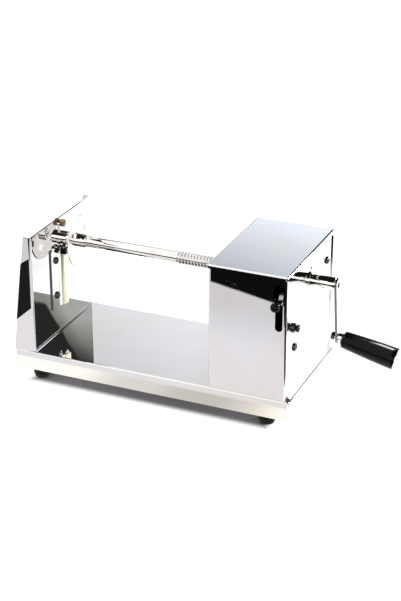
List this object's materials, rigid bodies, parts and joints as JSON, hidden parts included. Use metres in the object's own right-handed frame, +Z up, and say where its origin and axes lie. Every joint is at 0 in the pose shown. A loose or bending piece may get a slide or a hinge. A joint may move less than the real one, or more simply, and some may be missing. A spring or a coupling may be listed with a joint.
{
  "type": "spiral potato cutter",
  "caption": "Hand-cranked spiral potato cutter: hollow screw rod with pronged pusher disc, fixed knife on an end bracket, boxed feed housing with clutch, pan base on feet.",
  "frame": {"origin": "on the table under the middle of the machine's footprint", "axes": "+X from the knife bracket along the feed rod towards the crank, +Y to the rear, +Z up"},
  "size_m": [0.406, 0.1551, 0.1697],
  "materials": {
    "black_plastic": "glossy black plastic",
    "black_rubber": "moulded black rubber",
    "brass": "dull brass",
    "knife_steel": "ground steel, slightly straw-coloured",
    "mild_steel": "plain steel, satin",
    "polished_steel": "mirror-polished stainless steel",
    "spring_steel": "drawn spring wire",
    "white_nylon": "turned nylon",
    "zinc_steel": "zinc-plated steel, dulled"
  },
  "bodies": {
    "stand": {"base_pan": "polished_steel", "foot_front_left": "black_rubber", "foot_rear_left": "black_rubber", "foot_front_right": "black_rubber", "foot_rear_right": "black_rubber", "foot_studs": "zinc_steel", "foot_nuts": "zinc_steel", "end_bracket": "polished_steel", "bracket_rivets": "zinc_steel", "grip_pad_front": "black_plastic", "grip_pad_rear": "black_plastic", "guide_strap": "polished_steel", "guide_tube": "polished_steel", "guide_nut": "zinc_steel", "strap_bolt": "brass", "strap_nut": "zinc_steel", "strap_screw": "zinc_steel", "knife_carrier": "polished_steel", "knife": "knife_steel", "knife_clamp": "black_plastic", "clamp_screw": "brass", "knife_screws": "zinc_steel", "knife_nuts": "zinc_steel", "housing_front": "polished_steel", "housing_left": "polished_steel", "housing_right": "polished_steel", "housing_cover": "polished_steel", "housing_rivets": "zinc_steel", "cover_screws": "zinc_steel", "wall_rivet": "zinc_steel", "left_bush": "white_nylon", "pivot_bolt": "zinc_steel", "pivot_spacer": "zinc_steel", "pivot_washer": "zinc_steel", "pivot_nut": "zinc_steel", "spring_bracket": "mild_steel", "stop_bolt": "zinc_steel", "stop_nut": "zinc_steel", "bracket_screw": "zinc_steel", "bracket_screw_nut": "zinc_steel", "clutch_spring": "spring_steel"},
    "bush": {"right_bush": "white_nylon"},
    "rod": {"feed_rod": "polished_steel", "pusher_disc": "polished_steel", "disc_collar": "polished_steel", "collar_grub": "zinc_steel", "rod_end_nut": "polished_steel", "crank_arm": "polished_steel", "grip_nut": "zinc_steel", "grip_washer": "zinc_steel", "grip_bolt": "zinc_steel"},
    "grip": {"crank_grip": "black_plastic", "grip_cap": "polished_steel"},
    "clutch": {"clutch_lever": "mild_steel", "half_nut": "brass", "half_nut_screws": "zinc_steel", "knob_pin": "zinc_steel", "clutch_knob": "black_plastic"}
  },
  "joints": [
    {"name": "crank_turn", "type": "hinge", "parent": "stand", "child": "bush", "pos_m": [0.10824, 0.00685, 0.1398], "axis": [1, 0, 0], "range_deg": [0, 12240]},
    {"name": "rod_feed", "type": "slide", "parent": "bush", "child": "rod", "axis": [1, 0, 0], "range_m": [0, 0.1228]},
    {"name": "grip_spin", "type": "hinge", "parent": "rod", "child": "grip", "pos_m": [0.17096, 0.01822, 0.06799], "axis": [0.9744, 0.0352, -0.2222], "continuous": true},
    {"name": "clutch_press", "type": "hinge", "parent": "stand", "child": "clutch", "pos_m": [0.10014, 0.05885, 0.1408], "axis": [1, 0, 0], "range_deg": [0, 5.24], "stiffness_Nm_per_rad": 5, "springref_deg": -4.01, "deforming": ["clutch_spring"]}
  ],
  "couplings": [
    {"joint": "rod_feed", "follows": "crank_turn", "m_per_rad": 0.00057296}
  ]
}
